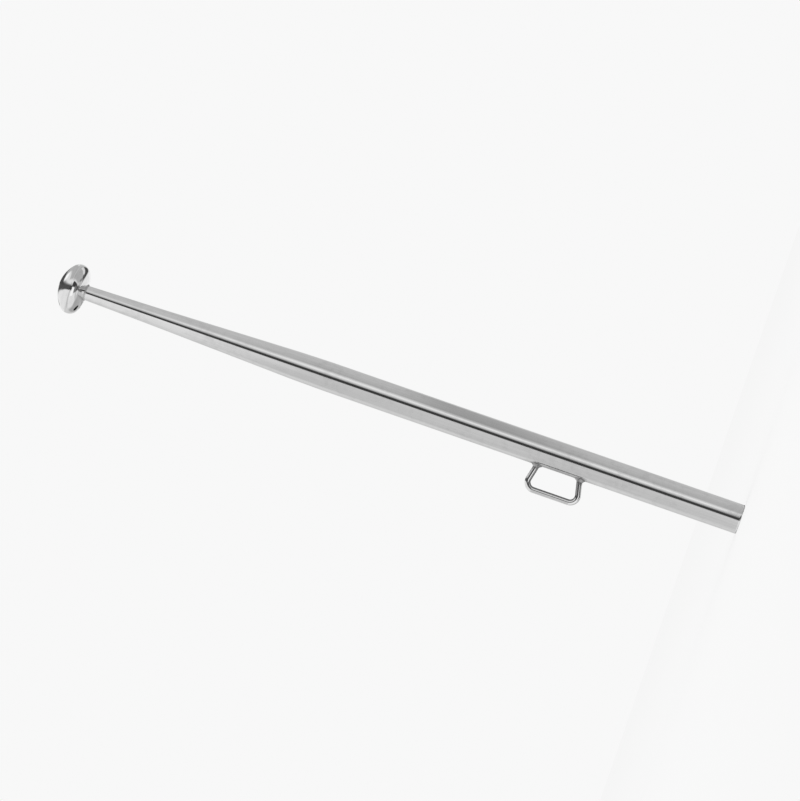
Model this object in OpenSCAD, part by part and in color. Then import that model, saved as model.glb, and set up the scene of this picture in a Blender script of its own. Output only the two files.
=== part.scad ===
// Stainless flagstaff for a deck socket: a hollow tube drawn down to a thin tip, a flattened-ball knob
// with two line holes in its rim, and a bent wire loop welded on near the butt end.
// Millimetres. The origin is the centre of the butt end, +Z runs up the pole and the loop is on -X.

/* [Pole] */
// Overall length, from the butt end to the crown of the knob
pole_length = 600; // [460:5:900]
// Outside diameter of the parallel stretch
tube_d = 25; // [22:0.5:30]
// Wall thickness
tube_wall = 1.2; // [1:0.1:1.6]
// Length of the main taper, from the parallel stretch to the knee
main_taper_length = 144; // [110:1:180]
// Length of the tip taper, from the knee to the knob's seat
tip_taper_length = 58; // [40:1:80]
// Outside diameter at the knee, where the two tapers meet
knee_d = 15.4; // [14.5:0.1:17]
// Outside diameter at the tip, under the knob
tip_d = 12.5; // [11.5:0.1:13.5]
// Deburred corner on the outside of the butt end
butt_chamfer = 0.5; // [0.3:0.1:0.6]
// Deburred corner on the inside of the butt end
bore_chamfer = 0.3; // [0.2:0.1:0.4]

/* [Knob] */
// Largest diameter of the knob
knob_d = 43; // [40:0.5:48]
// Height of the crown above the knob's widest line
crown_height = 13.5; // [11:0.5:15]
// Depth of the full back dome below the widest line
back_depth = 10.5; // [9.5:0.5:12]
// Radius of the rounded rim
rim_r = 8; // [6:0.5:8.5]
// Diameter of each line hole through the rim
line_hole_d = 5; // [4:0.5:6]
// Distance of each line hole from the pole's axis
line_hole_offset = 16; // [15:0.5:16]
// Turn of each line hole from the loop's plane, one to each side
line_hole_turn = 22; // [16:1:40]
// Leg length of the small ground weld round the neck
neck_weld_leg = 0.8; // [0.6:0.1:1.2]

/* [Line loop] */
// Wire diameter
wire_d = 5; // [4:0.5:6]
// Height of the loop's middle above the butt end
loop_height = 154; // [100:1:200]
// Distance between the centres of the two feet on the tube
foot_spacing = 37.2; // [34:0.2:44]
// How far the loop stands out from the tube, over the wire
loop_reach = 23; // [21:0.5:28]
// Lean of each leg away from the other
leg_splay = 13; // [6:1:16]
// Bend radius at the wire's centreline
bend_r = 6.5; // [5.5:0.5:7]
// Leg length of the fillet weld at each foot
foot_weld_leg = 2.9; // [2.7:0.1:3.2]
// Reach of each foot weld from the middle of its foot
foot_weld_r = 4.6; // [4.4:0.1:4.8]

/* [Hidden] */
$fn = 96;

polished = [0.74, 0.75, 0.76];
welded = [0.66, 0.66, 0.67];

tube_r = tube_d / 2;
bore_r = tube_r - tube_wall;
tip_r = tip_d / 2;
knee_r = knee_d / 2;

// A fillet weld ends in a blunt toe on both of its legs, its face is hollow, and a skirt under it is shaped
// by the tube.
weld_toe = 0.2;
weld_hollow = 2;
weld_skirt = 2.5;
weld_flare = 0.8;

// The knob's outline is a rim arc that runs into a dome arc on each side, where it stands proud by a hair.
rim_proud = 0.004;
knob_r = knob_d / 2;
rim_x = knob_r - rim_r;
rim_z = pole_length - crown_height;
crown_dome_r = dome_radius(crown_height);
back_dome_r = dome_radius(back_depth);

// The knob's back is faced flat out to the edge of the neck weld, and the tube stands on that face.
seat_r = tip_r + neck_weld_leg + weld_toe;
seat_depth = sqrt(pow(back_dome_r, 2) - pow(seat_r, 2)) - (back_dome_r - back_depth);
seat_z = rim_z - seat_depth;
knee_z = seat_z - tip_taper_length;
taper_z = knee_z - main_taper_length;
tip_slope = (knee_r - tip_r) / tip_taper_length;

// The bends are set out to the nearest hundredth, so that the bar meets them exactly.
bend_step = 0.01;
wire_r = wire_d / 2;
bar_x = tube_r + loop_reach - wire_r;
foot_y = foot_spacing / 2;
corner_y = foot_y + (bar_x - tube_r) * tan(leg_splay);
bend_turn = 90 + leg_splay;
bend_setback = bend_r * tan(bend_turn / 2);
bend_y = round((corner_y - bend_setback) / bend_step) * bend_step;
leg_length = (bar_x - tube_r) / cos(leg_splay) - bend_setback;
foot_depth = wire_d;

// Radius of the dome arc that is tangent to the rim arc and rises to a given height.
function dome_radius(rise) = (pow(rim_x, 2) + pow(rise, 2) - pow(rim_r, 2)) / (2 * (rise - rim_r));

// Outline of one dome, from the axis to where it meets the rim, over the widest line.
module knob_dome(rise, dome_r) {
    intersection() {
        translate([0, rise - dome_r]) circle(r = dome_r - rim_proud);
        square([rim_x * dome_r / (dome_r - rim_r), rise]);
    }
}

// The whole outline: the crown over the widest line, and the back under it, faced flat for the tube.
module knob_outline() {
    translate([rim_x, 0]) circle(r = rim_r);
    knob_dome(crown_height, crown_dome_r);
    intersection() {
        mirror([0, 1]) knob_dome(back_depth, back_dome_r);
        translate([0, -seat_depth]) square([knob_r, seat_depth]);
    }
}

// Hollow-faced bead between a wall at x = 0 and a floor at y = 0, with blunt toes.
module fillet_face(leg) {
    edge = leg + weld_toe;
    translate([edge + weld_hollow, edge + weld_hollow])
        circle(r = sqrt(pow(weld_hollow, 2) + pow(leg + weld_hollow, 2)));
}

// Places its children in the loop's plane: X out from the pole, Y up it.
module at_loop() {
    translate([0, 0, loop_height]) rotate([90, 0, 180]) children();
}

// Solid bar of the tube's outside size, for shaping what sits on the tube.
module tube_outside() {
    cylinder(r = tube_r, h = taper_z);
}

// One bend, from the end of the outer bar to the end of a leg.
module loop_bend() {
    translate([bar_x - bend_r, bend_y, 0])
        rotate_extrude(angle = bend_turn) translate([bend_r, 0]) circle(r = wire_r);
}

// One straight leg, from the end of its bend to inside the tube's outline.
module loop_leg() {
    translate([bar_x - bend_r, bend_y, 0]) rotate([0, 0, bend_turn]) translate([bend_r, 0, 0])
        rotate([-90, 0, 0]) cylinder(r = wire_r, h = leg_length + foot_depth);
}

// Fillet weld round the upper foot, before the tube and the leg are taken out of it.
module foot_bead() {
    edge = foot_weld_leg + weld_toe;
    translate([tube_r, foot_y, 0]) rotate([0, 90, 0]) rotate_extrude() difference() {
        polygon([
            [0, -weld_skirt],
            [foot_weld_r + weld_flare, -weld_skirt],
            [foot_weld_r, 0],
            [foot_weld_r, edge],
            [0, edge]
        ]);
        translate([foot_weld_r - edge, 0]) fillet_face(foot_weld_leg);
    }
}

module foot_weld(turn) {
    difference() {
        at_loop() rotate([turn, 0, 0]) foot_bead();
        tube_outside();
        at_loop() rotate([turn, 0, 0]) loop_leg();
    }
}

module pole_tube() {
    color(polished) rotate_extrude() polygon([
        [bore_r + bore_chamfer, 0],
        [tube_r - butt_chamfer, 0],
        [tube_r, butt_chamfer],
        [tube_r, taper_z],
        [knee_r, knee_z],
        [tip_r, seat_z],
        [tip_r - tube_wall, seat_z],
        [knee_r - tube_wall, knee_z],
        [bore_r, taper_z],
        [bore_r, bore_chamfer]
    ]);
}

module knob() {
    color(polished) difference() {
        translate([0, 0, rim_z]) rotate_extrude() knob_outline();
        for (turn = [-line_hole_turn, line_hole_turn]) rotate([0, 0, turn])
            translate([-line_hole_offset, 0, rim_z - knob_r]) cylinder(d = line_hole_d, h = knob_d);
    }
}

module neck_weld() {
    edge = neck_weld_leg + weld_toe;
    color(welded) translate([0, 0, seat_z]) rotate_extrude() difference() {
        polygon([
            [tip_r, 0],
            [tip_r + edge, 0],
            [tip_r + edge, -edge],
            [tip_r + tip_slope * edge, -edge]
        ]);
        translate([tip_r, 0]) mirror([0, 1]) fillet_face(neck_weld_leg);
    }
}

module line_loop() {
    color(polished) difference() {
        at_loop() {
            translate([bar_x, -bend_y, 0]) rotate([-90, 0, 0]) cylinder(r = wire_r, h = 2 * bend_y);
            for (turn = [0, 180]) rotate([turn, 0, 0]) {
                loop_bend();
                loop_leg();
            }
        }
        tube_outside();
    }
}

module loop_weld_upper() {
    color(welded) foot_weld(0);
}

module loop_weld_lower() {
    color(welded) foot_weld(180);
}

pole_tube();
knob();
neck_weld();
line_loop();
loop_weld_upper();
loop_weld_lower();
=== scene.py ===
"""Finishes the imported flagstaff: steel pieces with their polish, a pale studio and a camera."""

import math
from collections import namedtuple
from types import SimpleNamespace

import bmesh
import bpy
from mathutils import Matrix, Vector


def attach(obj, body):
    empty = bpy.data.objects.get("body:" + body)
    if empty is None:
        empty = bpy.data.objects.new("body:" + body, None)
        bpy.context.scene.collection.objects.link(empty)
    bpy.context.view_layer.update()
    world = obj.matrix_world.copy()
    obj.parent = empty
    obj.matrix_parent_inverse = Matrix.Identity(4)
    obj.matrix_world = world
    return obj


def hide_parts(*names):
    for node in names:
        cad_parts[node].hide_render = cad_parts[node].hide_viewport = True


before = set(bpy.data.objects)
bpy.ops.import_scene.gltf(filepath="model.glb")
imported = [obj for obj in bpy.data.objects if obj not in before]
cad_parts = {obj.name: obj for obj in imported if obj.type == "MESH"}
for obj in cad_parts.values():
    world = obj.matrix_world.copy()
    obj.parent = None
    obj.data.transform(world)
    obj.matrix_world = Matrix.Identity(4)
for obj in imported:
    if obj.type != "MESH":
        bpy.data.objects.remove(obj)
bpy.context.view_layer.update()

bl_info = {
    "name": "Stainless Flagstaff",
    "version": (1, 0, 0),
    "blender": (4, 5, 0),
    "location": "View3D > Sidebar > Flagstaff",
    "description": "Finishes the packed flagstaff and sets it in a pale studio",
    "category": "Object",
}

MM = 0.001
IMAGE_WIDTH = 800

# Points closer than MERGE become one, and heights or radii closer than NEAR count as the same
MERGE = 0.0005 * MM
NEAR = 0.001 * MM


# Settings that a user would change


def length(name, description, millimetres):
    options = {"min": 0.0, "precision": 5, "subtype": "DISTANCE", "unit": "LENGTH"}
    return bpy.props.FloatProperty(name=name, description=description, default=millimetres * MM, **options)


def colour(name, description, value):
    return bpy.props.FloatVectorProperty(
        name=name, description=description, default=value, min=0.0, max=1.0, size=3, subtype="COLOR"
    )


def angle(name, description, degrees):
    return bpy.props.FloatProperty(
        name=name, description=description, default=math.radians(degrees), subtype="ANGLE", unit="ROTATION"
    )


class FlagstaffSizes(bpy.types.PropertyGroup):
    """Sizes of the staff's pieces"""

    pole_length: length("Pole length", "From the butt end to the crown of the knob", 600)
    tube_d: length("Tube diameter", "Outside diameter of the parallel stretch", 25)
    tube_wall: length("Tube wall", "Wall thickness of the tube", 1.2)
    main_taper: length("Main taper", "Length from the parallel stretch to the knee", 144)
    tip_taper: length("Tip taper", "Length from the knee to the knob's seat", 58)
    knee_d: length("Knee diameter", "Outside diameter where the two tapers meet", 15.4)
    tip_d: length("Tip diameter", "Outside diameter under the knob", 12.5)
    butt_chamfer: length("Butt corner", "Deburred corner outside the butt end", 0.5)
    bore_chamfer: length("Bore corner", "Deburred corner inside the butt end", 0.3)
    knob_d: length("Knob diameter", "Largest diameter of the knob", 43)
    crown_height: length("Crown height", "Crown above the knob's widest line", 13.5)
    back_depth: length("Back depth", "Full back dome below the widest line", 10.5)
    rim_r: length("Rim radius", "Radius of the knob's rounded rim", 8)
    line_hole_d: length("Line holes", "Diameter of each hole through the knob's rim", 5)
    line_hole_offset: length("Line hole offset", "From the pole's axis to each hole", 16)
    line_hole_turn: angle("Line hole turn", "Turn of each hole from the loop's plane", 22)
    neck_weld_leg: length("Neck weld", "Leg length of the small ground weld round the neck", 0.8)
    wire_d: length("Wire diameter", "Diameter of the loop's wire", 5)
    loop_height: length("Loop height", "Middle of the loop above the butt end", 154)
    foot_spacing: length("Foot spacing", "Between the centres of the loop's feet", 37.2)
    loop_reach: length("Loop reach", "How far the loop stands out from the tube", 23)
    bend_r: length("Bend radius", "Bend radius at the wire's centreline", 6.5)
    foot_weld_leg: length("Foot weld", "Leg length of the weld at each foot", 2.9)
    foot_weld_r: length("Foot weld reach", "Reach of each foot weld from its middle", 4.6)
    leg_splay: angle("Leg splay", "Lean of each leg of the loop away from the other", 13)


class FlagstaffFinish(bpy.types.PropertyGroup):
    """Colours and polish of the steel"""

    steel: colour("Polished steel", "Colour of the polished steel", (0.755, 0.755, 0.755))
    dull_steel: colour("Dull steel", "Steel where the polish is hazed", (0.60, 0.60, 0.60))
    weld: colour("Weld bead", "Colour of the brushed weld beads", (0.37, 0.37, 0.37))
    # This colour also paints shade: on the tube between the loop's feet, and on the wire's inner side, which
    # faces the tube
    heat_mark_and_shade: colour(
        "Heat mark", "Steel left dark beside a weld or out of the wheel's reach", (0.27, 0.27, 0.27)
    )
    # Near black: the drilled walls are unpolished, and this colour also paints the shade inside the holes
    drilled_and_shade: colour("Drilled wall", "Unpolished walls of the line holes", (0.05, 0.05, 0.05))
    polish: bpy.props.FloatProperty(
        name="Polish", description="Roughness of the steel", default=0.07, min=0.0, max=1.0, subtype="FACTOR"
    )


class FlagstaffStage(bpy.types.PropertyGroup):
    """Studio and camera"""

    floor: colour("Floor", "Colour of the floor", (0.94, 0.94, 0.94))
    backdrop: colour("Backdrop", "Colour behind the staff", (0.938, 0.938, 0.938))
    camera_distance: length("Camera distance", "From the camera to the pole's axis", 2700)
    camera_height: length("Camera height", "Camera above the butt end", 56)
    pole_tilt: angle("Pole tilt", "Lean of the pole from the picture's level, head up on the left", 19.12)


# Places worked out from the sizes


def dome_radius(rim_x, rim_r, rise):
    """Radius of the dome that runs smoothly into the rim and rises to a given height."""
    return (rim_x**2 + rise**2 - rim_r**2) / (2 * (rise - rim_r))


def staff_places(z):
    """Heights, radii and centres of the staff's shapes, from its sizes."""
    p = SimpleNamespace(weld_toe=0.2 * MM, weld_hollow=2 * MM)
    p.tube_r = z.tube_d / 2
    p.knee_r = z.knee_d / 2
    p.tip_r = z.tip_d / 2
    p.bore_r = p.tube_r - z.tube_wall
    p.rim_x = z.knob_d / 2 - z.rim_r
    p.rim_z = z.pole_length - z.crown_height
    p.crown_r = dome_radius(p.rim_x, z.rim_r, z.crown_height)
    p.back_r = dome_radius(p.rim_x, z.rim_r, z.back_depth)
    p.crown_turn = math.asin(p.rim_x / (p.crown_r - z.rim_r))
    p.back_turn = math.asin(p.rim_x / (p.back_r - z.rim_r))
    p.neck_edge = z.neck_weld_leg + p.weld_toe
    p.seat_r = p.tip_r + p.neck_edge
    p.seat_turn = math.asin(p.seat_r / p.back_r)
    p.back_z = p.rim_z - z.back_depth + p.back_r
    p.seat_z = p.back_z - p.back_r * math.cos(p.seat_turn)
    p.knee_z = p.seat_z - z.tip_taper
    p.taper_z = p.knee_z - z.main_taper
    p.wire_r = z.wire_d / 2
    p.bar_x = p.tube_r + z.loop_reach - p.wire_r
    p.foot_z = z.foot_spacing / 2
    p.bend_turn = math.pi / 2 + z.leg_splay
    corner_z = p.foot_z + (p.bar_x - p.tube_r) * math.tan(z.leg_splay)
    p.bend_z = corner_z - z.bend_r * math.tan(p.bend_turn / 2)
    p.bend_x = p.bar_x - z.bend_r
    p.leg = (p.bar_x - p.tube_r) / math.cos(z.leg_splay) - z.bend_r * math.tan(p.bend_turn / 2)
    hole_x = -z.line_hole_offset * math.cos(z.line_hole_turn)
    hole_y = z.line_hole_offset * math.sin(z.line_hole_turn)
    p.line_holes = [Vector((hole_x, -hole_y, p.rim_z)), Vector((hole_x, hole_y, p.rim_z))]
    return p


def staff_settings(context):
    """The sizes, the places worked out from them, and the finish."""
    sizes = context.scene.flagstaff_sizes
    return sizes, staff_places(sizes), context.scene.flagstaff_finish


def foot_point(z, p, side):
    """Middle of a foot on the tube's wall; side is 1 for the upper foot and -1 for the lower."""
    return Vector((-p.tube_r, 0, z.loop_height + side * p.foot_z))


def knob_skin(z, p, out, side):
    """Height of the knob's skin at a distance from the axis; side is 1 for its crown, -1 for its back."""
    if side > 0:
        dome_r, dome_z, turn = p.crown_r, z.pole_length - p.crown_r, p.crown_turn
    else:
        dome_r, dome_z, turn = p.back_r, p.back_z, p.back_turn
    if out < dome_r * math.sin(turn):
        return dome_z + side * math.sqrt(dome_r**2 - out**2)
    return p.rim_z + side * math.sqrt(z.rim_r**2 - (out - p.rim_x) ** 2)


# Shapes


def draw_line(bm, points):
    """Joins the points with edges and gives the vertices back."""
    verts = [bm.verts.new(point) for point in points]
    for first, second in zip(verts, verts[1:]):
        bm.edges.new((first, second))
    return verts


def verts_of(geom):
    """The vertices among what an operator made."""
    return [item for item in geom if isinstance(item, bmesh.types.BMVert)]


def edges_of(geom):
    """The edges among what an operator made."""
    return [item for item in geom if isinstance(item, bmesh.types.BMEdge)]


def swing(bm, geom, centre, turn, steps):
    """Swings a vertex or edges round a centre in the XZ plane and gives back where they end."""
    made = bmesh.ops.spin(
        bm, geom=geom, cent=centre, axis=(0, 1, 0), angle=turn, steps=steps, use_merge=False
    )
    return made["geom_last"]


def draw_arc(bm, vert, centre, turn, steps):
    """Draws an arc on from a vertex and gives the vertex at its end back."""
    return verts_of(swing(bm, [vert], centre, turn, steps))[0]


def turn_outline(bm, steps):
    """Turns the drawn outline round the pole's axis into a closed skin."""
    drawn = bm.verts[:] + bm.edges[:]
    bmesh.ops.spin(
        bm, geom=drawn, cent=(0, 0, 0), axis=(0, 0, 1), angle=math.tau, steps=steps, use_merge=True
    )
    close_skin(bm)


def close_skin(bm):
    """Merges doubled points, drops empty faces and points every face outwards."""
    bmesh.ops.remove_doubles(bm, verts=bm.verts[:], dist=MERGE)
    bmesh.ops.dissolve_degenerate(bm, edges=bm.edges[:], dist=MERGE)
    bmesh.ops.recalc_face_normals(bm, faces=bm.faces[:])


def round_edges(bm, edges, width, segments):
    """Rounds the edges over a width to each side."""
    bmesh.ops.bevel(
        bm, geom=edges, offset=width, offset_type="OFFSET", affect="EDGES",
        segments=segments, profile=0.5, material=-1, clamp_overlap=False,
    )


def rings_at(bm, height):
    """Edges that lie level at a height and run round the axis."""
    level = [e for e in bm.edges if all(abs(v.co.z - height) < NEAR for v in e.verts)]
    return [e for e in level if abs(e.verts[0].co.xy.length - e.verts[1].co.xy.length) < NEAR]


def open_ring(geom):
    """Edges of the open end that an extrusion made."""
    return [edge for edge in edges_of(geom) if edge.is_boundary]


def new_object(name, data):
    """Puts a new object into the scene, at the origin."""
    made = bpy.data.objects.new(name, data)
    bpy.context.scene.collection.objects.link(made)
    return made


def to_object(bm, name):
    """Makes an object of a finished shape."""
    mesh = bpy.data.meshes.new(name)
    bm.to_mesh(mesh)
    bm.free()
    return new_object(name, mesh)


def dress(piece, node, material, crease):
    """Gives a finished piece its shading and finish, and puts it in its node's place."""
    piece.data.shade_smooth()
    piece.data.set_sharp_from_angle(angle=math.radians(crease))
    piece.data.materials.clear()
    piece.data.materials.append(material)
    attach(piece, "root")
    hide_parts(node)


def carve(piece, cutter):
    """Cuts one object out of another for good and removes the cutter."""
    cut = piece.modifiers.new("cut", "BOOLEAN")
    cut.operation = "DIFFERENCE"
    cut.solver = "EXACT"
    cut.object = cutter
    whole = piece.data
    piece_now = piece.evaluated_get(bpy.context.evaluated_depsgraph_get())
    piece.data = bpy.data.meshes.new_from_object(piece_now)
    piece.modifiers.clear()
    bpy.data.meshes.remove(whole)
    spent = cutter.data
    bpy.data.objects.remove(cutter)
    bpy.data.meshes.remove(spent)


# Shader building

# Nodes stand in rows, which start below a new material's own nodes
NODES_IN_ROW = 10
NODE_STEP = 220
ROW_STEP = 340
FIRST_ROW = 2

VECTOR = "NodeSocketVector"
NUMBER = "NodeSocketFloat"


def new_node(tree, kind, **settings):
    """A new node, set in the rows in the order of making."""
    row, column = divmod(len(tree.nodes), NODES_IN_ROW)
    made = tree.nodes.new(kind)
    made.location = (column * NODE_STEP, -(FIRST_ROW + row) * ROW_STEP)
    for key, value in settings.items():
        setattr(made, key, value)
    return made


def feed(tree, socket, value):
    """Links a socket to another one, or sets it to a plain value."""
    if isinstance(value, bpy.types.NodeSocket):
        tree.links.new(value, socket)
    else:
        socket.default_value = value


def fed_node(tree, kind, values, **settings):
    """A new node whose inputs take sockets or plain values, by name or in order; gives its outputs back."""
    made = new_node(tree, kind, **settings)
    pairs = values.items() if isinstance(values, dict) else enumerate(values)
    for key, value in pairs:
        feed(tree, made.inputs[key], value)
    return made.outputs


def maths(tree, operation, *values):
    return fed_node(tree, "ShaderNodeMath", values, operation=operation)[0]


def vector_maths(tree, operation, *values):
    """One Vector Math node, which gives a number for a distance or a dot product, and else a vector."""
    made = fed_node(tree, "ShaderNodeVectorMath", values, operation=operation)
    return made["Value" if operation in ("DISTANCE", "DOT_PRODUCT") else "Vector"]


def split(tree, vector):
    """The three coordinates of a vector."""
    return fed_node(tree, "ShaderNodeSeparateXYZ", [vector])


def add_up(tree, start, *parts):
    """A start value plus each mask times its weight."""
    for mask, weight in parts:
        start = maths(tree, "MULTIPLY_ADD", mask, weight, start)
    return start


def ramp(tree, value, low, high, bottom=0.0, top=1.0):
    """Maps a value smoothly from low..high to bottom..top, held at both ends."""
    limits = (value, low, high, bottom, top)
    return fed_node(tree, "ShaderNodeMapRange", limits, interpolation_type="SMOOTHSTEP")["Result"]


def blend(tree, factor, first, second, kind="RGBA"):
    """Mixes two colours or numbers by a factor."""
    made = new_node(tree, "ShaderNodeMix", data_type=kind)
    ending = {"RGBA": "Color", "FLOAT": "Float"}[kind]
    sockets = {s.identifier: s for s in list(made.inputs) + list(made.outputs)}
    feed(tree, sockets["Factor_Float"], factor)
    feed(tree, sockets["A_" + ending], first)
    feed(tree, sockets["B_" + ending], second)
    return sockets["Result_" + ending]


def noise(tree, vector, scale, detail, roughness):
    values = {"Vector": vector, "Scale": scale, "Detail": detail, "Roughness": roughness}
    return fed_node(tree, "ShaderNodeTexNoise", values)["Fac"]


def shared_group(name, inputs, outputs, wire):
    """A shader node group, built once: wire takes its input sockets and gives back what it puts out."""
    if name in bpy.data.node_groups:
        return bpy.data.node_groups[name]
    tree = bpy.data.node_groups.new(name, "ShaderNodeTree")
    for label, kind in inputs.items():
        tree.interface.new_socket(label, in_out="INPUT", socket_type=kind)
    for label in outputs:
        tree.interface.new_socket(label, in_out="OUTPUT", socket_type=NUMBER)
    start = new_node(tree, "NodeGroupInput")
    made = wire(tree, start.outputs)
    end = new_node(tree, "NodeGroupOutput")
    for label, socket in zip(outputs, made):
        tree.links.new(socket, end.inputs[label])
    return tree


def use_group(tree, group, **inputs):
    """Places a node group with its own values and gives its outputs back."""
    return fed_node(tree, "ShaderNodeGroup", inputs, node_tree=group)


def new_material(name):
    """A material, its tree and its shader."""
    material = bpy.data.materials.new(name)
    material.use_nodes = True
    return material, material.node_tree, material.node_tree.nodes["Principled BSDF"]


def object_place(tree):
    return new_node(tree, "ShaderNodeTexCoord").outputs["Object"]


def opaque(rgb):
    return (*rgb, 1.0)


# Finishes

# A dark mark on the steel, used for the heat tint beside a weld and for painted shade: full within its core
# and gone at its reach; squeeze draws it out along Z
HeatAndShadeMark = namedtuple("HeatAndShadeMark", "centre core reach strength squeeze", defaults=[1.0])
HEAT_RAGGED = 3 * MM

# How far each flaw of the polish takes the steel towards its dull colour
STREAK_TONE = 0.35
LINE_TONE = 0.20
HAZE_TONE = 0.40

# How much roughness each flaw adds
LINE_ROUGH = 0.025
HAZE_ROUGH = 0.035
SPECK_ROUGH = 0.05
HEAT_ROUGH = 0.2
GRAIN_ROUGH = 0.12
TINT_ROUGH = 0.08


def polish_lines_group():
    """Fine lines that a polishing wheel leaves, drawn out by a stretch."""

    def wire(tree, given):
        drawn = vector_maths(tree, "MULTIPLY", given["Vector"], given["Stretch"])
        fine = noise(tree, drawn, scale=2600, detail=4, roughness=0.65)
        broad = noise(tree, drawn, scale=520, detail=3, roughness=0.55)
        return ramp(tree, fine, low=0.3, high=0.7), ramp(tree, broad, low=0.32, high=0.68)

    return shared_group("Polish lines", {"Vector": VECTOR, "Stretch": VECTOR}, ("Lines", "Streaks"), wire)


def handling_haze_group():
    """Soft hazy patches and small specks left by handling and wiping."""

    def wire(tree, given):
        patches = noise(tree, given["Vector"], scale=34, detail=4, roughness=0.6)
        smears = noise(tree, given["Vector"], scale=190, detail=3, roughness=0.6)
        specks = noise(tree, given["Vector"], scale=1500, detail=2, roughness=0.5)
        both = maths(tree, "MULTIPLY", patches, smears)
        return ramp(tree, both, low=0.2, high=0.42), ramp(tree, specks, low=0.62, high=0.78)

    return shared_group("Handling haze", {"Vector": VECTOR}, ("Haze", "Specks"), wire)


def heat_and_shade_group():
    """How strongly a mark at a centre darkens the steel round it, as a weld's heat tint or as painted shade.
    """

    def wire(tree, given):
        gap = vector_maths(tree, "DISTANCE", given["Vector"], given["Centre"])
        ragged = noise(tree, given["Vector"], scale=420, detail=3, roughness=0.6)
        shift = maths(tree, "MULTIPLY_ADD", ragged, HEAT_RAGGED, -HEAT_RAGGED / 2)
        edge = maths(tree, "ADD", gap, shift)
        return (ramp(tree, edge, given["Core"], given["Reach"], bottom=1.0, top=0.0),)

    inputs = {"Vector": VECTOR, "Centre": VECTOR, "Core": NUMBER, "Reach": NUMBER}
    return shared_group("Weld heat and shade", inputs, ("Heat",), wire)


def steel_material(name):
    """A metal material without a finish: its tree, its shader and the object's own coordinates."""
    material, tree, shader = new_material(name)
    shader.inputs["Metallic"].default_value = 1.0
    return material, tree, shader, object_place(tree)


def finish_surface(tree, shader, colour_now, rough, height, depth, strength):
    """Feeds the shader its colour, its roughness and a fine relief from a height between 0 and 1."""
    relief = {"Strength": strength, "Distance": depth, "Height": height}
    normal = fed_node(tree, "ShaderNodeBump", relief)["Normal"]
    for label, socket in (("Base Color", colour_now), ("Roughness", rough), ("Normal", normal)):
        tree.links.new(socket, shader.inputs[label])


def foot_marks(z, p, core, reach, strength):
    """A round heat mark at each foot of the loop."""
    return [HeatAndShadeMark(foot_point(z, p, side), core, reach, strength) for side in (1, -1)]


def strongest_heat_and_shade(tree, place, marks):
    """Mask of all the heat marks and painted shade marks together."""
    strongest = None
    for mark in marks:
        drawn = vector_maths(tree, "MULTIPLY", place, (1, 1, mark.squeeze))
        centre = (mark.centre.x, mark.centre.y, mark.centre.z * mark.squeeze)
        group = heat_and_shade_group()
        heat = use_group(tree, group, Vector=drawn, Centre=centre, Core=mark.core, Reach=mark.reach)["Heat"]
        heat = maths(tree, "MULTIPLY", heat, mark.strength)
        strongest = heat if strongest is None else maths(tree, "MAXIMUM", strongest, heat)
    return strongest


def polished_finish(name, finish, place_of, stretch, heat_and_shade_marks):
    """Polished steel with fine lines, hazy patches, a few specks, heat marks beside its welds and any
    painted shade marks it is given.
    """
    material, tree, shader, place = steel_material(name)
    lines = use_group(tree, polish_lines_group(), Vector=place_of(tree), Stretch=stretch)
    haze = use_group(tree, handling_haze_group(), Vector=place)
    flaws = (lines["Streaks"], STREAK_TONE), (lines["Lines"], LINE_TONE), (haze["Haze"], HAZE_TONE)
    tone = add_up(tree, 0.0, *flaws)
    colour_now = blend(tree, tone, opaque(finish.steel), opaque(finish.dull_steel))
    flaws = (lines["Lines"], LINE_ROUGH), (haze["Haze"], HAZE_ROUGH), (haze["Specks"], SPECK_ROUGH)
    rough = add_up(tree, finish.polish, *flaws)
    if heat_and_shade_marks:
        # The marks darken the steel: heat tint beside the welds and, on the tube, painted shade between the
        # loop's feet
        heat = strongest_heat_and_shade(tree, place, heat_and_shade_marks)
        colour_now = blend(tree, heat, colour_now, opaque(finish.heat_mark_and_shade))
        rough = add_up(tree, rough, (heat, HEAT_ROUGH))
    finish_surface(tree, shader, colour_now, rough, lines["Lines"], depth=0.004 * MM, strength=0.25)
    return material


def lay_over(material, mask, rgb, rough):
    """Puts a colour and a roughness over a finish, where the mask is 1."""
    tree = material.node_tree
    for label, value, kind in (("Base Color", opaque(rgb), "RGBA"), ("Roughness", rough, "FLOAT")):
        socket = tree.nodes["Principled BSDF"].inputs[label]
        under = socket.links[0].from_socket
        tree.links.new(blend(tree, mask, under, value, kind), socket)


def turned_place(tree):
    """Distance from the axis and height, so that lines run round a turned piece."""
    x, y, height = split(tree, object_place(tree))
    square = maths(tree, "MULTIPLY", x, x)
    square = maths(tree, "MULTIPLY_ADD", y, y, square)
    return fed_node(tree, "ShaderNodeCombineXYZ", [maths(tree, "SQRT", square), height])[0]


def wire_run_place(tree):
    """The wire's own place, which its mesh keeps: round its section and along its run."""
    return new_node(tree, "ShaderNodeAttribute", attribute_name="wire_place").outputs["Vector"]


def weld_finish(name, bead, finish, shade, rough):
    """Weld metal: grained, with darker clouds of heat tint over the bead's own colour."""
    material, tree, shader, place = steel_material(name)
    grain = noise(tree, place, scale=3800, detail=3, roughness=0.6)
    cloud = noise(tree, place, scale=620, detail=4, roughness=0.6)
    haze = use_group(tree, handling_haze_group(), Vector=place)
    tint = ramp(tree, cloud, low=0.42, high=0.68)
    tinted = maths(tree, "MULTIPLY", tint, shade)
    colour_now = blend(tree, tinted, opaque(bead), opaque(finish.heat_mark_and_shade))
    colour_now = blend(tree, haze["Specks"], colour_now, opaque(finish.dull_steel))
    rough = add_up(tree, rough, (grain, GRAIN_ROUGH), (tint, TINT_ROUGH))
    finish_surface(tree, shader, colour_now, rough, grain, depth=0.02 * MM, strength=0.35)
    return material


# Pieces


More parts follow.
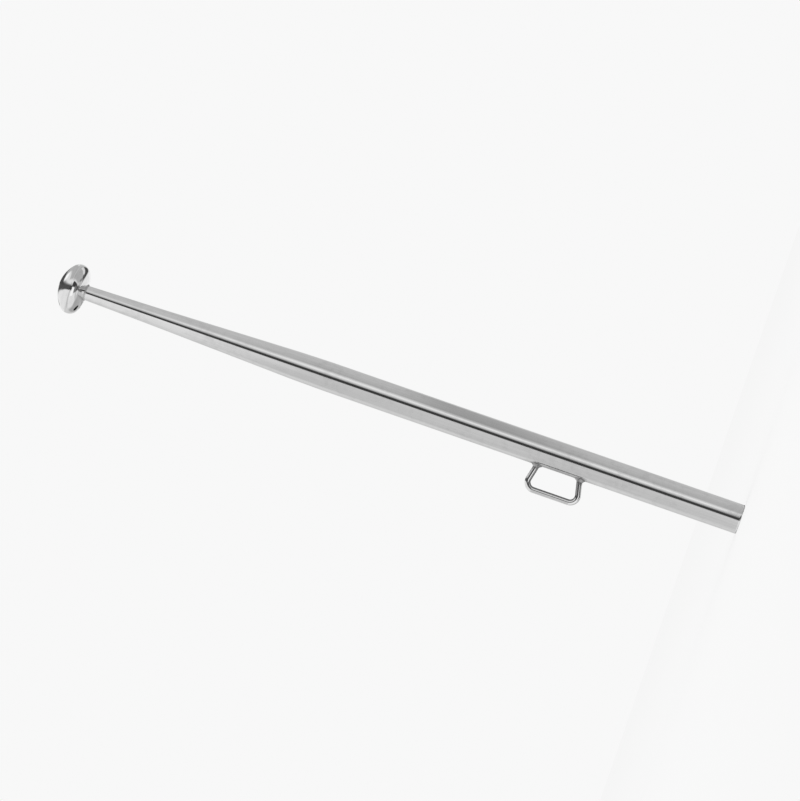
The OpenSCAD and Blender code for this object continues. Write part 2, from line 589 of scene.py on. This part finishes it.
class FLAGSTAFF_OT_tube(bpy.types.Operator):
    """Draws the hollow tube with its two tapers and deburred butt end"""

    bl_idname = "flagstaff.tube"
    bl_label = "Pole tube"

    around = 192
    taper_blend = 14 * MM
    taper_steps = 10
    knee_blend = 10 * MM
    knee_steps = 8
    corner_round = 0.16 * MM
    corner_steps = 3
    hold = 0.7 * MM
    crease = 30
    line_stretch = (1.0, 1.0, 0.012)

    def execute(self, context):
        z, p, finish = staff_settings(context)
        outline = [
            (p.bore_r + z.bore_chamfer, 0),
            (p.tube_r - z.butt_chamfer, 0),
            (p.tube_r, z.butt_chamfer),
            (p.tube_r, z.butt_chamfer + self.hold),
            (p.tube_r, p.taper_z),
            (p.knee_r, p.knee_z),
            (p.tip_r, p.seat_z),
            (p.tip_r - z.tube_wall, p.seat_z),
            (p.knee_r - z.tube_wall, p.knee_z),
            (p.bore_r, p.taper_z),
            (p.bore_r, z.bore_chamfer + self.hold),
            (p.bore_r, z.bore_chamfer),
        ]
        bm = bmesh.new()
        drawn = draw_line(bm, [(x, 0, height) for x, height in outline])
        bm.edges.new((drawn[-1], drawn[0]))
        turn_outline(bm, self.around)
        round_edges(bm, rings_at(bm, p.taper_z), self.taper_blend, self.taper_steps)
        round_edges(bm, rings_at(bm, p.knee_z), self.knee_blend, self.knee_steps)
        corners = rings_at(bm, 0) + rings_at(bm, z.butt_chamfer) + rings_at(bm, z.bore_chamfer)
        round_edges(bm, corners, self.corner_round, self.corner_steps)
        piece = to_object(bm, "polished_tube")
        marks = self.heat_and_shade_marks(z, p)
        material = polished_finish("polished_tube_steel", finish, object_place, self.line_stretch, marks)
        dress(piece, "pole_tube", material, self.crease)
        return {"FINISHED"}

    def heat_and_shade_marks(self, z, p):
        """A round heat mark at each foot of the loop, and a long patch of painted shade between them, where
        the loop stands over the tube.
        """
        marks = foot_marks(z, p, core=5.2 * MM, reach=9.2 * MM, strength=1.0)
        # Painted shade: a long soft dark patch on the tube between the loop's feet, drawn out along the pole
        between = Vector((-p.tube_r, 0, z.loop_height))
        marks.append(HeatAndShadeMark(between, core=4.6 * MM, reach=10.0 * MM, strength=0.72, squeeze=0.24))
        return marks


class FLAGSTAFF_OT_knob(bpy.types.Operator):
    """Turns the flattened-ball knob and drills the two line holes through its rim"""

    bl_idname = "flagstaff.knob"
    bl_label = "Knob"

    around = 224
    crown_steps = 22
    rim_steps = 40
    back_steps = 8
    hole_sides = 72
    mouth_round = 0.6 * MM
    mouth_steps = 6
    crease = 40
    line_stretch = (0.8, 0.8, 1.0)

    # A face belongs to a drilled wall if it leans less than this and its corners are this near the wall
    wall_lean = 0.3
    wall_near = 0.02 * MM

    # The painted shade of the holes runs out of the drilled wall by this much, and fades over this share of
    # the rolled mouth
    dark_past_wall = 0.03 * MM
    dark_on_mouth = 0.45
    drilled_rough = 0.5

    def execute(self, context):
        z, p, finish = staff_settings(context)
        bm = bmesh.new()
        point = bm.verts.new((0, 0, z.pole_length))
        point = draw_arc(bm, point, (0, 0, z.pole_length - p.crown_r), p.crown_turn, self.crown_steps)
        rim_turn = math.pi - p.crown_turn - p.back_turn
        point = draw_arc(bm, point, (p.rim_x, 0, p.rim_z), rim_turn, self.rim_steps)
        point = draw_arc(bm, point, (0, 0, p.back_z), p.back_turn - p.seat_turn, self.back_steps)
        middle = bm.verts.new((0, 0, p.seat_z))
        bm.edges.new((point, middle))
        turn_outline(bm, self.around)
        piece = to_object(bm, "turned_knob")
        for hole_at in p.line_holes:
            self.drill(piece, z, p, hole_at)
        material = polished_finish("turned_knob_steel", finish, turned_place, self.line_stretch, [])
        self.shade_holes(material, finish, p.line_holes[0], z.line_hole_d / 2)
        dress(piece, "knob", material, self.crease)
        return {"FINISHED"}

    def drill(self, piece, z, p, hole_at):
        """Drills one line hole through the rim and rolls both of its mouths over into its wall."""
        wide = z.line_hole_d / 2 + self.mouth_round
        bm = bmesh.new()
        bmesh.ops.create_cone(
            bm, cap_ends=True, segments=self.hole_sides, radius1=wide, radius2=wide,
            depth=z.knob_d, matrix=Matrix.Translation(hole_at),
        )
        carve(piece, to_object(bm, "line_drill"))
        bm = bmesh.new()
        bm.from_mesh(piece.data)
        wall = [face for face in bm.faces if self.on_wall(face, hole_at, wide)]
        if not wall:
            raise RuntimeError("a line hole missed the knob's rim")
        bmesh.ops.delete(bm, geom=wall, context="FACES")
        mouths = [e for e in bm.edges if e.is_boundary]
        ends = []
        for side in (1, -1):
            mouth = [e for e in mouths if (e.verts[0].co.z - hole_at.z) * side > 0]
            ends += self.roll_mouth(bm, mouth, z, p, hole_at, side)
        bmesh.ops.bridge_loops(bm, edges=ends)
        close_skin(bm)
        bm.to_mesh(piece.data)
        bm.free()

    def on_wall(self, face, hole_at, radius):
        """True for an upright face whose corners all lie on the drilled wall."""
        if abs(face.normal.z) >= self.wall_lean:
            return False
        return all(abs((v.co - hole_at).xy.length - radius) < self.wall_near for v in face.verts)

    def roll_mouth(self, bm, ring, z, p, hole_at, side):
        """Rolls a mouth's edge over from the knob's skin into the wall and gives its last ring back."""
        radius = z.line_hole_d / 2
        wide = radius + self.mouth_round
        for step in range(1, self.mouth_steps + 1):
            done = step / self.mouth_steps
            left = (1 - done) ** 2
            ring = open_ring(bmesh.ops.extrude_edge_only(bm, edges=ring)["geom"])
            for vert in {v for e in ring for v in e.verts}:
                way = (vert.co - hole_at).xy.normalized()
                outer = knob_skin(z, p, (hole_at.xy + way * wide).length, side)
                inner = knob_skin(z, p, (hole_at.xy + way * radius).length, side)
                vert.co.xy = hole_at.xy + way * (radius + self.mouth_round * left)
                vert.co.z = left * outer + (1 - left) * inner - side * self.mouth_round * done**2
        return ring

    def shade_holes(self, material, finish, hole_at, radius):
        """Paints shade into the holes: their unpolished drilled walls and the inner part of their rolled
        mouths go near black and dull. Folded over the loop's plane, both holes are one.
        """
        tree = material.node_tree
        place = object_place(tree)
        folded = vector_maths(tree, "ABSOLUTE", place)
        flat = vector_maths(tree, "MULTIPLY", folded, (1, 1, 0))
        gap = vector_maths(tree, "DISTANCE", flat, (abs(hole_at.x), abs(hole_at.y), 0))
        dark_to = radius + self.dark_past_wall
        bright_from = radius + self.dark_on_mouth * self.mouth_round
        near = ramp(tree, gap, dark_to, bright_from, bottom=1.0, top=0.0)
        loop_side = maths(tree, "LESS_THAN", split(tree, place)["X"], 0.0)
        inside = maths(tree, "MULTIPLY", near, loop_side)
        lay_over(material, inside, finish.drilled_and_shade, self.drilled_rough)


class FLAGSTAFF_OT_line_loop(bpy.types.Operator):
    """Bends the round wire into the line loop and cuts its feet to the tube"""

    bl_idname = "flagstaff.line_loop"
    bl_label = "Line loop"

    around = 40
    bend_steps = 30
    foot_sink = 0.75 * MM
    hold = 0.4 * MM
    crease = 40
    line_stretch = (1.0, 1.0, 0.03)

    # The painted shade on the wire's inner side, which faces the tube, begins and is full at these shares of
    # its radius
    shade_begins = -0.25
    shade_full = -0.8
    dull_rough = 0.32

    def execute(self, context):
        z, p, finish = staff_settings(context)
        bar_middle = Vector((-p.bar_x, 0, z.loop_height))
        bend_at = Vector((-p.bend_x, 0, z.loop_height + p.bend_z))
        bm = bmesh.new()
        bmesh.ops.create_circle(
            bm, segments=self.around, radius=p.wire_r, matrix=Matrix.Translation(bar_middle)
        )
        ring = self.draw_out(bm, bm.edges[:], Vector((0, 0, p.bend_z - self.hold)))
        ring = self.draw_out(bm, ring, Vector((0, 0, self.hold)))
        bent = swing(bm, ring, bend_at, p.bend_turn, self.bend_steps)
        leg_way = Vector((math.cos(z.leg_splay), 0, -math.sin(z.leg_splay)))
        ring = self.draw_out(bm, edges_of(bent), leg_way * self.hold)
        self.draw_out(bm, ring, leg_way * (p.leg + z.wire_d - self.hold))
        half = bm.verts[:] + bm.edges[:] + bm.faces[:]
        in_wall = (-p.tube_r + self.foot_sink, 0, 0)
        cut = bmesh.ops.bisect_plane(bm, geom=half, plane_co=in_wall, plane_no=(1, 0, 0), clear_outer=True)
        bmesh.ops.contextual_create(bm, geom=edges_of(cut["geom_cut"]))
        self.note_wire_place(bm, z, p, bend_at)
        half = bm.verts[:] + bm.edges[:] + bm.faces[:]
        to_middle = Matrix.Translation((0, 0, -z.loop_height))
        bmesh.ops.mirror(bm, geom=half, matrix=to_middle, merge_dist=NEAR, axis="Z")
        close_skin(bm)
        piece = to_object(bm, "bent_wire_loop")
        marks = foot_marks(z, p, core=3.0 * MM, reach=6.0 * MM, strength=0.9)
        material = polished_finish("bent_wire_steel", finish, wire_run_place, self.line_stretch, marks)
        self.shade_inside(material, finish, p.wire_r)
        dress(piece, "line_loop", material, self.crease)
        return {"FINISHED"}

    def draw_out(self, bm, ring, way):
        """Draws the wire straight out from a ring of edges and gives the new ring back."""
        made = bmesh.ops.extrude_edge_only(bm, edges=ring)["geom"]
        bmesh.ops.translate(bm, vec=way, verts=verts_of(made))
        return open_ring(made)

    def note_wire_place(self, bm, z, p, bend_at):
        """Keeps each point's place on the wire: round its section, then along its run."""
        layer = bm.verts.layers.float_vector.new("wire_place")
        for vert in bm.verts:
            apart = vert.co - bend_at
            turn = min(max(math.atan2(apart.z, -apart.x), 0.0), p.bend_turn)
            out = -apart.x * math.cos(turn) + apart.z * math.sin(turn) - z.bend_r
            along = apart.x * math.sin(turn) + apart.z * math.cos(turn)
            vert[layer] = (out, vert.co.y, p.bend_z + z.bend_r * turn + along)

    def shade_inside(self, material, finish, wire_r):
        """Paints shade on the wire's inner side, which faces the tube, and makes it rougher there."""
        tree = material.node_tree
        out = split(tree, wire_run_place(tree))["X"]
        inside = ramp(tree, out, self.shade_begins * wire_r, self.shade_full * wire_r)
        lay_over(material, inside, finish.heat_mark_and_shade, self.dull_rough)


class FLAGSTAFF_OT_welds(bpy.types.Operator):
    """Lays the rippled weld beads round the neck and round each foot of the loop"""

    bl_idname = "flagstaff.welds"
    bl_label = "Weld beads"

    arc_steps = 14
    sink = 0.25 * MM
    neck_steps = 260
    neck_ripples = 34
    neck_lift = 0.05 * MM
    foot_steps = 180
    foot_ripples = 22
    foot_lift = 0.12 * MM
    crease = 60

    # A ripple bows back at both toes, peaks late in its length and fades out towards the toes
    ripple_bow = 0.55
    ripple_peak = 0.72
    ripple_fade = 0.6

    # The ripples' height wanders by this share, in this many waves round the bead, from this phase
    wander = 0.25
    wander_waves = 2
    wander_phase = 0.8

    def execute(self, context):
        z, p, finish = staff_settings(context)
        ground = weld_finish("ground_weld", finish.dull_steel, finish, shade=0.15, rough=0.34)
        dress(self.neck_bead(z, p), "neck_weld", ground, self.crease)
        brushed = weld_finish("brushed_weld", finish.weld, finish, shade=0.6, rough=0.16)
        for side, foot in ((1, "upper"), (-1, "lower")):
            bead = self.foot_bead(z, p, side, foot + "_foot_bead")
            dress(bead, "loop_weld_" + foot, brushed, self.crease)
        return {"FINISHED"}

    def bead(self, leg, edge, hollow, inner, steps, ripples, lift):
        """A rippled hollow-faced bead round Z: its inner radius on a wall, its foot on z = 0, facing up."""
        bm = bmesh.new()
        centre = Vector((inner + edge + hollow, 0, edge + hollow))
        radius = math.hypot(hollow, leg + hollow)
        first = math.atan2(hollow, leg + hollow)
        start = bm.verts.new(centre - Vector((radius * math.cos(first), 0, radius * math.sin(first))))
        high = bm.verts.new((inner - self.sink, 0, edge))
        end = draw_arc(bm, start, centre, -(math.pi / 2 - 2 * first), self.arc_steps)
        low = bm.verts.new((inner + edge, 0, -self.sink))
        corner = bm.verts.new((inner - self.sink, 0, -self.sink))
        for pair in ((high, start), (end, low), (low, corner), (corner, high)):
            bm.edges.new(pair)
        turn_outline(bm, steps)
        self.lift_ripples(bm, centre, first, ripples, lift)
        return bm

    def ripple(self, turn, across, count):
        """Height from 0 to 1 of overlapping ripples, at a turn round the bead and a share of its width."""
        phase = turn / math.tau * count + self.ripple_bow * (2 * across - 1) ** 2
        phase -= math.floor(phase)
        rise = min(phase / self.ripple_peak, (1 - phase) / (1 - self.ripple_peak))
        return math.sin(math.pi / 2 * rise) * math.sin(math.pi * across) ** self.ripple_fade

    def lift_ripples(self, bm, centre, first, count, lift):
        """Raises the hollow face of a bead into overlapping ripples."""
        span = math.pi / 2 - 2 * first
        for vert in bm.verts:
            out = Vector((vert.co.xy.length, 0, vert.co.z))
            apart = centre - out
            across = (math.atan2(apart.z, apart.x) - first) / span
            if apart.x <= 0 or apart.z <= 0 or not 0 <= across <= 1:
                continue
            turn = math.atan2(vert.co.y, vert.co.x)
            wave = math.sin(self.wander_waves * turn + self.wander_phase)
            height = lift * (1 - self.wander + self.wander * wave)
            out += apart.normalized() * (height * self.ripple(turn, across, count))
            vert.co = (math.cos(turn) * out.x, math.sin(turn) * out.x, out.z)

    def neck_bead(self, z, p):
        """The ground bead under the knob, which faces down."""
        rippled = (self.neck_steps, self.neck_ripples, self.neck_lift)
        bm = self.bead(z.neck_weld_leg, p.neck_edge, p.weld_hollow, p.tip_r, *rippled)
        bmesh.ops.transform(bm, matrix=Matrix.Scale(-1, 4, (0, 0, 1)), verts=bm.verts[:])
        bmesh.ops.translate(bm, vec=(0, 0, p.seat_z), verts=bm.verts[:])
        close_skin(bm)
        return to_object(bm, "neck_bead")

    def foot_bead(self, z, p, side, name):
        """The bead at a foot, wrapped over the tube's wall and leaned with the leg."""
        edge = z.foot_weld_leg + p.weld_toe
        rippled = (self.foot_steps, self.foot_ripples, self.foot_lift)
        bm = self.bead(z.foot_weld_leg, edge, p.weld_hollow, z.foot_weld_r - edge, *rippled)
        lean = side * math.tan(z.leg_splay)
        foot = foot_point(z, p, side)
        for vert in bm.verts:
            along, across, height = vert.co
            wall = math.sqrt(p.tube_r**2 - across**2)
            vert.co = (-wall - height, across, foot.z + along + lean * height)
        close_skin(bm)
        return to_object(bm, name)


# Studio

# Turn is in degrees from the camera, + away from the loop, and lift is in degrees above level. A round
# panel reaches round its middle. The others hang in this order, each between its turns and lifts.
RoundPanel = namedtuple("RoundPanel", "turn lift reach soft level")
Panel = namedtuple("Panel", "turn_from turn_to lift_from lift_to soft level")

SHELL_LEVEL = 0.10

ROUND_PANELS = (
    RoundPanel(-93.5, 0, 80.5, 4, 1.02),
    RoundPanel(92, 3, 79, 12, 1.00),
)

PANELS = (
    Panel(-178, -18, -77, -63, 9, 0.74),
    Panel(-176, -112, -64, -4, 24, 0.50),
    Panel(-181, -168, 8, 32, 5, 0.85),
    Panel(-177, -8, -87, -78, 5, 1.00),
    Panel(12, 172, -90, -79, 6, 0.22),
    Panel(40, 176, -62, 52, 14, 0.57),
    Panel(60, 150, -77, -66, 7, 0.62),
    Panel(128, 164, 54, 68, 9, 1.30),
    Panel(171, 181, 24, 84, 4, 0.08),
    Panel(166, 173, 31, 58, 4, 0.08),
    Panel(160, 167, 42, 58, 4, 0.08),
    Panel(6, 33, -56, 7, 5, 0.06),
    Panel(-24, 17, -64, -38, 9, 0.26),
    Panel(-38, 6, -37, -10, 5, 1.30),
    Panel(111, 130, -42, 12, 9, 0.95),
    Panel(128, 168, 13, 24, 6, 0.92),
    Panel(132, 161, -44, 14, 9, 0.08),
    Panel(118, 152, -57, -41, 9, 0.10),
    Panel(70, 126, -66, -55, 7, 0.30),
    Panel(140, 168, -72, -62, 6, 0.80),
    Panel(163, 181, -62, 18, 7, 1.08),
    Panel(-181, -177, -62, 18, 4, 1.05),
)

# A level band of panels is seen along the pole: its turns and levels near the butt and near the tip, the
# lifts over which it fades in, goes from the one to the other and fades out, and its dimmer stretch
BUTT_BAND = (
    (-145, 0.75), (-115, 0.85), (-90, 0.70), (-12.5, 0.75), (-9.5, 0.05), (5.5, 0.05),
    (13, 0.60), (28, 1.10), (48, 0.55), (90, 0.65), (145, 0.65), (163, 0.95),
)
TIP_BAND = (
    (-115, 0.80), (-90, 1.00), (-28, 1.05), (-15, 1.10), (-10, 0.05), (7, 0.05),
    (15, 0.50), (32, 0.95), (50, 0.70), (145, 0.65), (163, 0.95),
)
BAND_FADES_IN = (-2.4, -1.4)
BUTT_TO_TIP = (10.5, 16.5)
BAND_FADES_OUT = (19.5, 17.5)
DIM_TURNS = ((24, 37), (140, 124))
DIM_LIFTS = ((2.2, 5.0), (6.9, 6.3))
DIM_SHARE = 0.3

# Lamps for soft light: name, place, width and power
LAMPS = (
    ("key_lamp", (1.2, -1.0, 2.4), 1.6, 5.0),
    ("fill_lamp", (-1.6, -0.8, 1.8), 1.8, 2.0),
)
LAMP_AIM = Vector((0, 0, 0.2))


def plain_emission(tree, level):
    return fed_node(tree, "ShaderNodeEmission", [level])[0]


def seen_directly(tree):
    """1 for camera, mirror and see-through rays, 0 for the rays that carry soft light."""
    path = new_node(tree, "ShaderNodeLightPath").outputs
    seen = maths(tree, "MAXIMUM", path["Is Camera Ray"], path["Is Glossy Ray"])
    return maths(tree, "MAXIMUM", seen, path["Is Transmission Ray"])


def soft_mask(tree, *edges):
    """1 where every value is past its soft edge: each edge is a value, where it is 0 and where it is 1."""
    mask = None
    for value, start, full in edges:
        side = ramp(tree, value, start, full)
        mask = side if mask is None else maths(tree, "MULTIPLY", mask, side)
    return mask


class FLAGSTAFF_OT_stage(bpy.types.Operator):
    """Sets up the floor, the backdrop, the reflecting panels, the lamps and the camera"""

    bl_idname = "flagstaff.stage"
    bl_label = "Studio and camera"

    shell_r = 12.0
    floor_r = 4.0
    floor_sides = 96
    floor_rough = 0.9
    floor_glow = 0.6

    # Half the pole's length in the picture, and how far its middle is from the picture's, in pixels
    half_span_px = 360.2
    off_centre_px = (0.24, -1.14)
    sensor_width = 36.0
    clip_near = 0.05
    clip_far = 50.0

    def execute(self, context):
        stage = context.scene.flagstaff_stage
        context.scene.view_settings.view_transform = "Standard"
        self.hang_backdrop(context.scene, stage)
        self.lay_floor(stage)
        self.raise_panels()
        self.hang_lamps()
        self.set_camera(context.scene, stage)
        return {"FINISHED"}

    def hang_backdrop(self, scene, stage):
        """A plain pale world."""
        world = bpy.data.worlds.new("pale_backdrop")
        world.use_nodes = True
        world.node_tree.nodes["Background"].inputs["Color"].default_value = opaque(stage.backdrop)
        scene.world = world

    def lay_floor(self, stage):
        """A round floor that keeps the staff's soft shadow and runs into the backdrop."""
        bm = bmesh.new()
        bmesh.ops.create_circle(bm, cap_ends=True, segments=self.floor_sides, radius=self.floor_r)
        floor = to_object(bm, "pale_floor")
        material, tree, shader = new_material("pale_floor")
        shader.inputs["Roughness"].default_value = self.floor_rough
        shader.inputs["Specular IOR Level"].default_value = 0.0
        shader.inputs["Base Color"].default_value = opaque(stage.floor)
        glow_share = maths(tree, "MULTIPLY", seen_directly(tree), self.floor_glow)
        glow = plain_emission(tree, opaque(stage.backdrop))
        mixed = fed_node(tree, "ShaderNodeMixShader", [glow_share, shader.outputs[0], glow])[0]
        tree.links.new(mixed, tree.nodes["Material Output"].inputs["Surface"])
        floor.data.materials.append(material)
        floor.visible_glossy = False

    def raise_panels(self):
        """A wide shell of grey and white panels round the staff, which only the polished steel sees."""
        bm = bmesh.new()
        bmesh.ops.create_icosphere(bm, subdivisions=4, radius=self.shell_r)
        shell = to_object(bm, "panel_shell")
        shell.data.materials.append(self.panel_material())
        for ray in ("camera", "diffuse", "shadow", "transmission"):
            setattr(shell, "visible_" + ray, False)

    def panel_material(self):
        """Light of the panels' own, painted on the shell by turn and lift."""
        material, tree, shader = new_material("studio_panels")
        tree.nodes.remove(shader)
        way = vector_maths(tree, "NORMALIZE", object_place(tree))
        x, y, z = split(tree, way)
        front = maths(tree, "MULTIPLY", y, -1.0)
        turn = maths(tree, "DEGREES", maths(tree, "ARCTAN2", x, front))
        lift = maths(tree, "DEGREES", maths(tree, "ARCSINE", z))
        level = SHELL_LEVEL
        for panel in ROUND_PANELS:
            level = blend(tree, self.round_mask(tree, way, panel), level, panel.level, "FLOAT")
        for panel in PANELS:
            level = blend(tree, self.panel_mask(tree, turn, lift, panel), level, panel.level, "FLOAT")
        on_band = soft_mask(tree, (lift, *BAND_FADES_IN), (lift, *BAND_FADES_OUT))
        level = blend(tree, on_band, level, self.panel_band(tree, turn, lift))
        tree.links.new(plain_emission(tree, level), tree.nodes["Material Output"].inputs["Surface"])
        return material

    def round_mask(self, tree, way, panel):
        """1 within a round panel's reach of its middle, fading to 0 over its softness."""
        turn = math.radians(panel.turn)
        lift = math.radians(panel.lift)
        middle = (math.sin(turn) * math.cos(lift), -math.cos(turn) * math.cos(lift), math.sin(lift))
        near = vector_maths(tree, "DOT_PRODUCT", way, middle)
        outer = math.cos(math.radians(panel.reach + panel.soft / 2))
        inner = math.cos(math.radians(panel.reach - panel.soft / 2))
        return ramp(tree, near, outer, inner)

    def panel_mask(self, tree, turn, lift, panel):
        """1 between a panel's turns and lifts, fading to 0 over its softness."""
        half = panel.soft / 2
        return soft_mask(
            tree,
            (turn, panel.turn_from - half, panel.turn_from + half),
            (turn, panel.turn_to + half, panel.turn_to - half),
            (lift, panel.lift_from - half, panel.lift_from + half),
            (lift, panel.lift_to + half, panel.lift_to - half),
        )

    def panel_band(self, tree, turn, lift):
        """Levels of the band that is seen along the pole, with its dimmer stretch."""
        butt = self.band_levels(tree, turn, BUTT_BAND)
        tip = self.band_levels(tree, turn, TIP_BAND)
        band = blend(tree, ramp(tree, lift, *BUTT_TO_TIP), butt, tip)
        edges = [(lift, *edge) for edge in DIM_LIFTS] + [(turn, *edge) for edge in DIM_TURNS]
        dim = maths(tree, "MULTIPLY", soft_mask(tree, *edges), DIM_SHARE)
        return blend(tree, dim, band, (0, 0, 0, 1))

    def band_levels(self, tree, turn, band):
        """Levels by turn, run smoothly from one to the next."""
        made = new_node(tree, "ShaderNodeValToRGB")
        stops = made.color_ramp.elements
        for index, (degrees, level) in enumerate(band):
            place = 0.5 + degrees / 360
            stop = stops[index] if index < 2 else stops.new(place)
            stop.position = place
            stop.color = (level, level, level, 1.0)
        tree.links.new(maths(tree, "MULTIPLY_ADD", turn, 1 / 360, 0.5), made.inputs["Fac"])
        return made.outputs["Color"]

    def hang_lamps(self):
        """Two wide soft lamps that the steel doesn't mirror."""
        for name, place, width, power in LAMPS:
            light = bpy.data.lights.new(name, "AREA")
            light.energy = power
            light.size = width
            lamp = new_object(name, light)
            lamp.visible_glossy = False
            lamp.location = place
            lamp.rotation_mode = "QUATERNION"
            lamp.rotation_quaternion = (LAMP_AIM - lamp.location).to_track_quat("-Z", "Y")

    def set_camera(self, scene, stage):
        """Looks at the pole from near the butt's height, rolled so that it leans as in the picture."""
        away, low = stage.camera_distance, stage.camera_height
        butt_angle = math.atan2(-low, away)
        head_angle = math.atan2(scene.flagstaff_sizes.pole_length - low, away)
        middle = (butt_angle + head_angle) / 2
        focal_px = self.half_span_px / math.tan((head_angle - butt_angle) / 2)
        forward = Vector((0, math.cos(middle), math.sin(middle)))
        pole_up = Vector((0, -math.sin(middle), math.cos(middle)))
        side = Vector((1, 0, 0))
        roll = math.pi / 2 - stage.pole_tilt
        right = side * math.cos(roll) - pole_up * math.sin(roll)
        up = side * math.sin(roll) + pole_up * math.cos(roll)
        forward -= (right * self.off_centre_px[0] + up * self.off_centre_px[1]) / focal_px
        forward.normalize()
        right = (right - forward * right.dot(forward)).normalized()
        up = right.cross(forward)
        data = bpy.data.cameras.new("photo_camera")
        data.sensor_fit = "HORIZONTAL"
        data.sensor_width = self.sensor_width
        data.lens = focal_px / IMAGE_WIDTH * self.sensor_width
        data.clip_start = self.clip_near
        data.clip_end = self.clip_far
        camera = new_object("photo_camera", data)
        turned = Matrix((right, up, -forward)).transposed().to_4x4()
        camera.matrix_world = Matrix.Translation((0, -away, low)) @ turned
        scene.camera = camera


class FLAGSTAFF_PT_panel(bpy.types.Panel):
    """Lists the staff's pieces and settings in the sidebar"""

    bl_idname = "FLAGSTAFF_PT_panel"
    bl_label = "Flagstaff"
    bl_space_type = "VIEW_3D"
    bl_region_type = "UI"
    bl_category = "Flagstaff"

    def draw(self, context):
        for operator in OPERATORS:
            self.layout.operator(operator.bl_idname)
        for name in GROUPS:
            settings = getattr(context.scene, name)
            box = self.layout.box()
            for key in settings.bl_rna.properties.keys():
                if key not in ("rna_type", "name"):
                    box.prop(settings, key)


GROUPS = {
    "flagstaff_sizes": FlagstaffSizes,
    "flagstaff_finish": FlagstaffFinish,
    "flagstaff_stage": FlagstaffStage,
}
OPERATORS = (
    FLAGSTAFF_OT_tube,
    FLAGSTAFF_OT_knob,
    FLAGSTAFF_OT_line_loop,
    FLAGSTAFF_OT_welds,
    FLAGSTAFF_OT_stage,
)
CLASSES = (*GROUPS.values(), *OPERATORS, FLAGSTAFF_PT_panel)


def register():
    for item in CLASSES:
        bpy.utils.register_class(item)
    for name, group in GROUPS.items():
        setattr(bpy.types.Scene, name, bpy.props.PointerProperty(type=group))


def unregister():
    for name in GROUPS:
        delattr(bpy.types.Scene, name)
    for item in reversed(CLASSES):
        bpy.utils.unregister_class(item)


def main():
    register()
    bpy.ops.flagstaff.tube()
    bpy.ops.flagstaff.knob()
    bpy.ops.flagstaff.line_loop()
    bpy.ops.flagstaff.welds()
    bpy.ops.flagstaff.stage()


if __name__ == "__main__":
    main()
